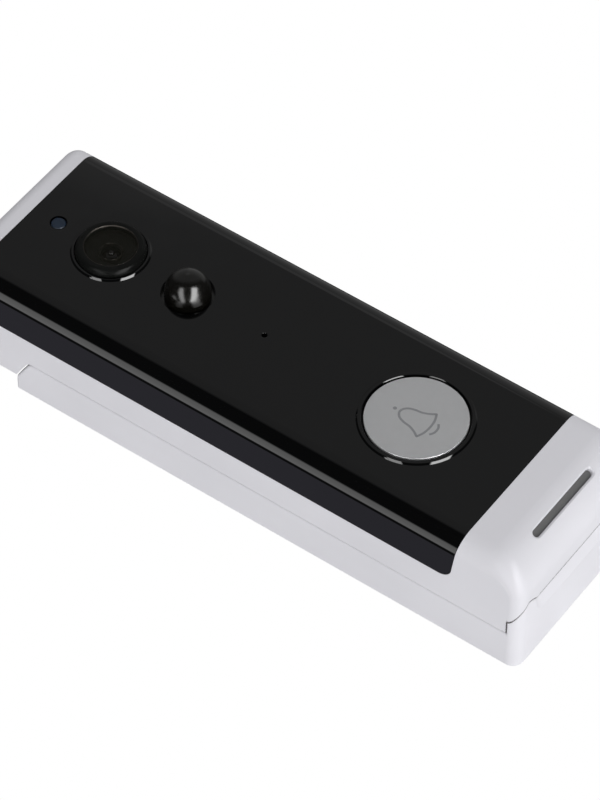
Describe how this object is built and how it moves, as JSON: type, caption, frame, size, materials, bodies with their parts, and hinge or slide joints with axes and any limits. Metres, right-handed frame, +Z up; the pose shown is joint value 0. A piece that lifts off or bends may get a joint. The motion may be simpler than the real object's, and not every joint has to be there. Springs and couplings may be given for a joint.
{
  "type": "video intercom",
  "caption": "Slim upright battery video doorbell with glossy wrap-around panel, raised camera, motion dome, round bell button and slide-on wall bracket.",
  "frame": {"origin": "midway between the two wall screws, in the plane of the wall", "axes": "+Z up along the body, -Y out from the wall towards the visitor, +X to the visitor's right"},
  "size_m": [0.0428, 0.036, 0.142],
  "materials": {
    "bracket_white": "fine moulded texture",
    "housing_white": "satin moulded",
    "chassis_white": "moulded",
    "panel_black": "high gloss",
    "tape_black": "foam tape",
    "ring_black": "high gloss",
    "bezel_black": "satin gloss",
    "camera_glass": "clear",
    "lens_black": "matte",
    "lens_glass": "coated",
    "dome_black": "gloss",
    "window_blue": "gloss",
    "button_grey": "spun",
    "carrier_black": "moulded",
    "plunger_black": "moulded",
    "mesh_grey": "fine mesh",
    "rubber_black": "matte",
    "board_green": "solder mask",
    "chip_black": "matte",
    "can_metal": "tinned",
    "switch_metal": "plain",
    "port_metal": "plain",
    "speaker_frame": "moulded",
    "speaker_cone": "film",
    "magnet_metal": "plated",
    "antenna_copper": "flex foil",
    "screw_steel": "plated",
    "cell_wrap": "shrink wrap",
    "contact_metal": "nickel"
  },
  "bodies": {
    "bracket": {"wall_bracket": "bracket_white"},
    "unit": {"front_housing": "housing_white", "front_panel": "panel_black", "panel_tape": "tape_black", "camera_ring": "ring_black", "camera_bezel": "bezel_black", "camera_glass": "camera_glass", "lens_barrel": "lens_black", "lens_element": "lens_glass", "lens_holder": "lens_black", "sensor_board": "board_green", "image_sensor": "chip_black", "pir_dome": "dome_black", "pir_sensor": "can_metal", "light_window": "window_blue", "light_sensor": "chip_black", "light_board": "board_green", "mic_boot": "rubber_black", "microphone": "can_metal", "button_ring": "ring_black", "tact_switch": "switch_metal", "main_board": "board_green", "wifi_module": "can_metal", "processor_shield": "can_metal", "speaker_frame": "speaker_frame", "speaker_cone": "speaker_cone", "speaker_magnet": "magnet_metal", "speaker_gasket": "rubber_black", "speaker_mesh": "mesh_grey", "rear_chassis": "chassis_white", "power_board": "board_green", "usb_port": "port_metal", "reset_switch": "switch_metal", "wifi_antenna": "antenna_copper", "board_screws": "screw_steel", "case_screws": "screw_steel", "battery_cell_left": "cell_wrap", "battery_cell_right": "cell_wrap", "plate_contact_left": "contact_metal", "plate_contact_right": "contact_metal", "spring_contact_left": "contact_metal", "spring_contact_right": "contact_metal"},
    "bell_button": {"button_cap": "button_grey", "button_carrier": "carrier_black", "switch_plunger": "plunger_black"},
    "reset_key": {"reset_cap": "rubber_black"}
  },
  "joints": [
    {"name": "unit_slide", "type": "slide", "parent": "bracket", "child": "unit", "axis": [0, 0, 1], "range_m": [0, 0.009]},
    {"name": "bell_press", "type": "slide", "parent": "unit", "child": "bell_button", "axis": [0, 1, 0], "range_m": [0, 0.0006], "stiffness_N_per_m": 2000, "springref_m": -0.0004},
    {"name": "reset_press", "type": "slide", "parent": "unit", "child": "reset_key", "axis": [0, -1, 0], "range_m": [0, 0.0003], "stiffness_N_per_m": 2000, "springref_m": -0.0003}
  ]
}
